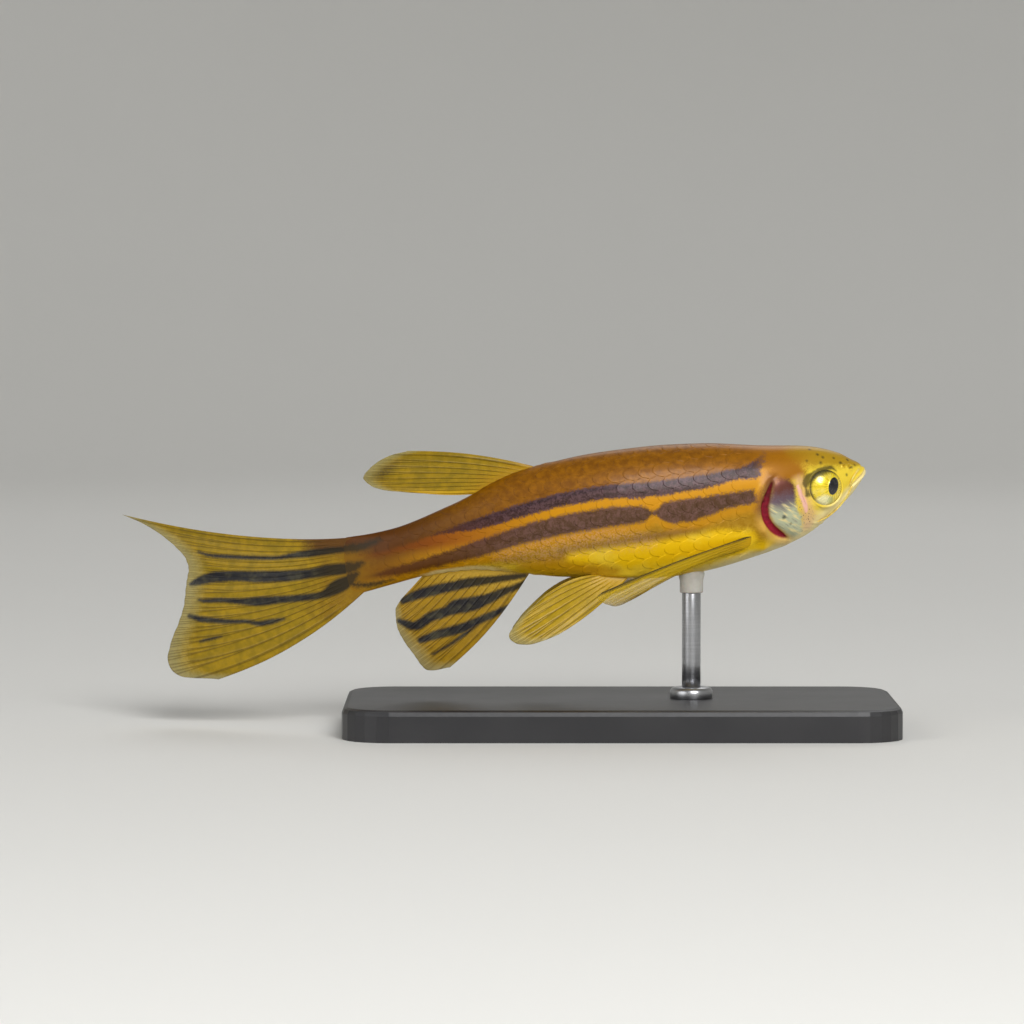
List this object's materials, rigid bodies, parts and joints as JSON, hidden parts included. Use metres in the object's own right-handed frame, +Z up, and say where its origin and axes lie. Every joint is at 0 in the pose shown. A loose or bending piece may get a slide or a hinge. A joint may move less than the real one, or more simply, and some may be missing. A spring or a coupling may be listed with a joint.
{
  "type": "zebra danio display model",
  "caption": "Life-size still model of a small striped fish with folded back fin and trailing tail, held over a flat base by a short rod.",
  "frame": {"origin": "centre of the underside of the stand's base", "axes": "+X the way the fish heads, +Z up, the fish's right side towards -Y"},
  "size_m": [0.0498, 0.018, 0.0183],
  "materials": {
    "back": "painted skin, satin, orange-brown",
    "flank": "painted skin, satin, gold with purple-grey stripes",
    "gill": "painted bony plate, silvery",
    "iris": "clear gloss over a gold ring and black pupil",
    "fin": "thin translucent membrane, olive-yellow",
    "striped_fin": "thin translucent membrane, olive-yellow with dark stripes",
    "base": "satin black",
    "rod": "satin"
  },
  "bodies": {
    "root": {"head": "back", "torso": "flank", "tail": "flank", "gill_cover_right": "gill", "gill_cover_left": "gill", "eye_right": "iris", "eye_left": "iris", "dorsal_fin": "fin", "anal_fin": "striped_fin", "caudal_fin": "striped_fin", "pelvic_fin_right": "fin", "pelvic_fin_left": "fin", "pectoral_fin_right": "fin", "pectoral_fin_left": "fin", "stand_base": "base", "stand_rod": "rod"}
  },
  "joints": []
}
